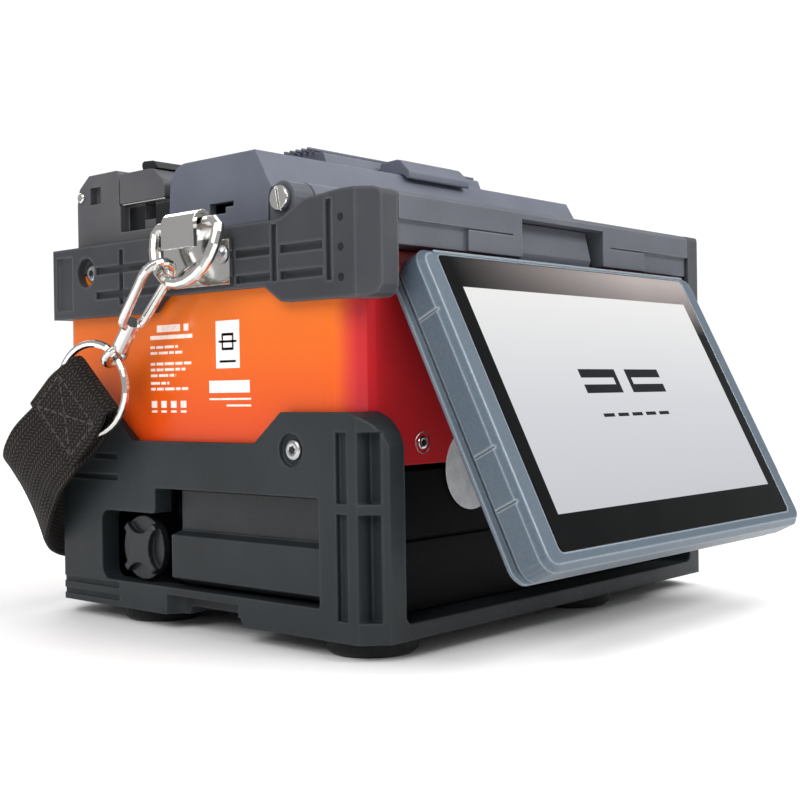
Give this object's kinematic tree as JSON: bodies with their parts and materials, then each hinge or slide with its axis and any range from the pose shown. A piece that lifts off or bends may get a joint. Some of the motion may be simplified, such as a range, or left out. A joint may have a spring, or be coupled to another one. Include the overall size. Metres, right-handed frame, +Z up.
{
  "type": "fiber fusion splicer",
  "caption": "Portable fibre fusion splicer with a tilting touch display, hinged wind cover, tube heater, slide-out battery, rubber bumpers and a carrying strap.",
  "frame": {"origin": "on the ground, under the middle of the machine without its strap", "axes": "+Z up, the display faces -Y, +X to the right as the user sits"},
  "size_m": [0.1894, 0.1936, 0.1343],
  "materials": {
    "base_black": "textured",
    "foot_rubber": "matt",
    "battery_black": "textured",
    "knob_black": "satin",
    "shell_orange": "satin gloss",
    "bumper_rubber": "matt",
    "deck_grey": "textured",
    "cover_grey": "textured",
    "heater_grey": "textured",
    "trough_black": "satin",
    "aluminium": "machined",
    "steel": "machined",
    "chrome": "polished",
    "bezel_grey": "satin",
    "glass_black": "polished",
    "panel_white": "satin",
    "port_black": "satin",
    "ceramic": "ground",
    "board_green": "satin",
    "webbing": "woven",
    "key_silver": "satin"
  },
  "bodies": {
    "machine": {"arc_transformer": "battery_black", "base_tray": "base_black", "bracket_screw_left": "steel", "bracket_screw_right": "steel", "dc_socket": "port_black", "deck_housing": "deck_grey", "electrode_front": "steel", "electrode_rear": "steel", "fan_frame": "port_black", "feed_motor_left": "steel", "feed_motor_right": "steel", "foot_front_left": "foot_rubber", "foot_front_right": "foot_rubber", "foot_rear_left": "foot_rubber", "foot_rear_right": "foot_rubber", "heater_base": "heater_grey", "heater_oven": "aluminium", "hinge_screw_left": "steel", "hinge_screw_right": "steel", "main_board": "board_green", "main_shell": "shell_orange", "microscope": "port_black", "screen_hinge_arm": "deck_grey", "screen_hinge_pin": "steel", "side_bumper_left": "bumper_rubber", "side_bumper_right": "bumper_rubber", "side_panel_left": "base_black", "side_panel_right": "base_black", "splice_stage": "aluminium", "strap_bracket_left": "chrome", "strap_bracket_right": "chrome", "usb_port": "steel", "v_groove_left": "ceramic", "v_groove_right": "ceramic"},
    "screen": {"screen_bezel": "bezel_grey", "screen_glass": "glass_black", "screen_panel": "panel_white", "screen_rear_cover": "bezel_grey"},
    "cover": {"wind_cover": "cover_grey", "cover_top_plate": "cover_grey", "cover_grip": "cover_grey"},
    "heater_lid": {"heater_lid": "heater_grey", "heater_lid_tab": "trough_black"},
    "battery": {"battery_pack": "battery_black"},
    "knob": {"battery_knob": "knob_black"},
    "key_power": {"key_power": "key_silver"},
    "key_splice": {"key_splice": "key_silver"},
    "key_heat": {"key_heat": "key_silver"},
    "key_reset": {"key_reset": "key_silver"},
    "clamp_left": {"fibre_clamp_left": "deck_grey"},
    "clamp_right": {"fibre_clamp_right": "deck_grey"},
    "fan": {"fan_rotor": "port_black"},
    "d_ring_left": {"d_ring_left": "chrome"},
    "d_ring_right": {"d_ring_right": "chrome"},
    "strap": {"strap": "webbing", "snap_hook_left": "chrome", "snap_hook_right": "chrome", "split_ring_left": "chrome", "split_ring_right": "chrome"}
  },
  "joints": [
    {"name": "screen_tilt", "type": "hinge", "parent": "machine", "child": "screen", "pos_m": [0, -0.03791, 0.0943], "axis": [-1, 0, 0], "range_deg": [-26.5, 8]},
    {"name": "wind_cover_hinge", "type": "hinge", "parent": "machine", "child": "cover", "pos_m": [0, -0.00811, 0.1137], "axis": [1, 0, 0], "range_deg": [0, 95]},
    {"name": "heater_lid_hinge", "type": "hinge", "parent": "machine", "child": "heater_lid", "pos_m": [0, 0.05909, 0.127], "axis": [-1, 0, 0], "range_deg": [0, 80]},
    {"name": "battery_slide", "type": "slide", "parent": "machine", "child": "battery", "axis": [0, -1, 0], "range_m": [0, 0.018]},
    {"name": "battery_knob_turn", "type": "hinge", "parent": "machine", "child": "knob", "pos_m": [-0.08, 0.04439, 0.0214], "axis": [-1, 0, 0], "range_deg": [0, 90]},
    {"name": "key_heat_press", "type": "slide", "parent": "machine", "child": "key_heat", "axis": [0, 0, -1], "range_m": [0, 0.001], "stiffness_N_per_m": 400},
    {"name": "key_power_press", "type": "slide", "parent": "machine", "child": "key_power", "axis": [0, 0, -1], "range_m": [0, 0.001], "stiffness_N_per_m": 400},
    {"name": "key_reset_press", "type": "slide", "parent": "machine", "child": "key_reset", "axis": [0, 0, -1], "range_m": [0, 0.001], "stiffness_N_per_m": 400},
    {"name": "key_splice_press", "type": "slide", "parent": "machine", "child": "key_splice", "axis": [0, 0, -1], "range_m": [0, 0.001], "stiffness_N_per_m": 400},
    {"name": "clamp_left_hinge", "type": "hinge", "parent": "machine", "child": "clamp_left", "pos_m": [0, 0.02739, 0.1159], "axis": [-1, 0, 0], "range_deg": [0, 70]},
    {"name": "clamp_right_hinge", "type": "hinge", "parent": "machine", "child": "clamp_right", "pos_m": [0, 0.02739, 0.1159], "axis": [-1, 0, 0], "range_deg": [0, 70]},
    {"name": "fan_spin", "type": "hinge", "parent": "machine", "child": "fan", "pos_m": [0.0705, 0.03939, 0.072], "axis": [1, 0, 0], "continuous": true},
    {"name": "d_ring_left_play", "type": "hinge", "parent": "machine", "child": "d_ring_left", "pos_m": [-0.0855, 0.01339, 0.1078], "axis": [0, 1, 0], "range_deg": [0, 2.5]},
    {"name": "d_ring_right_play", "type": "hinge", "parent": "machine", "child": "d_ring_right", "pos_m": [0.0855, 0.01339, 0.1078], "axis": [0, -1, 0], "range_deg": [0, 2.5]},
    {"name": "strap_swing", "type": "hinge", "parent": "machine", "child": "strap", "pos_m": [0, 0.01339, 0.10487], "axis": [1, 0, 0], "range_deg": [0, 24]}
  ],
  "couplings": [
    {"joint": "clamp_left_hinge", "follows": "wind_cover_hinge", "ratio": 0.7},
    {"joint": "clamp_right_hinge", "follows": "wind_cover_hinge", "ratio": 0.7}
  ]
}
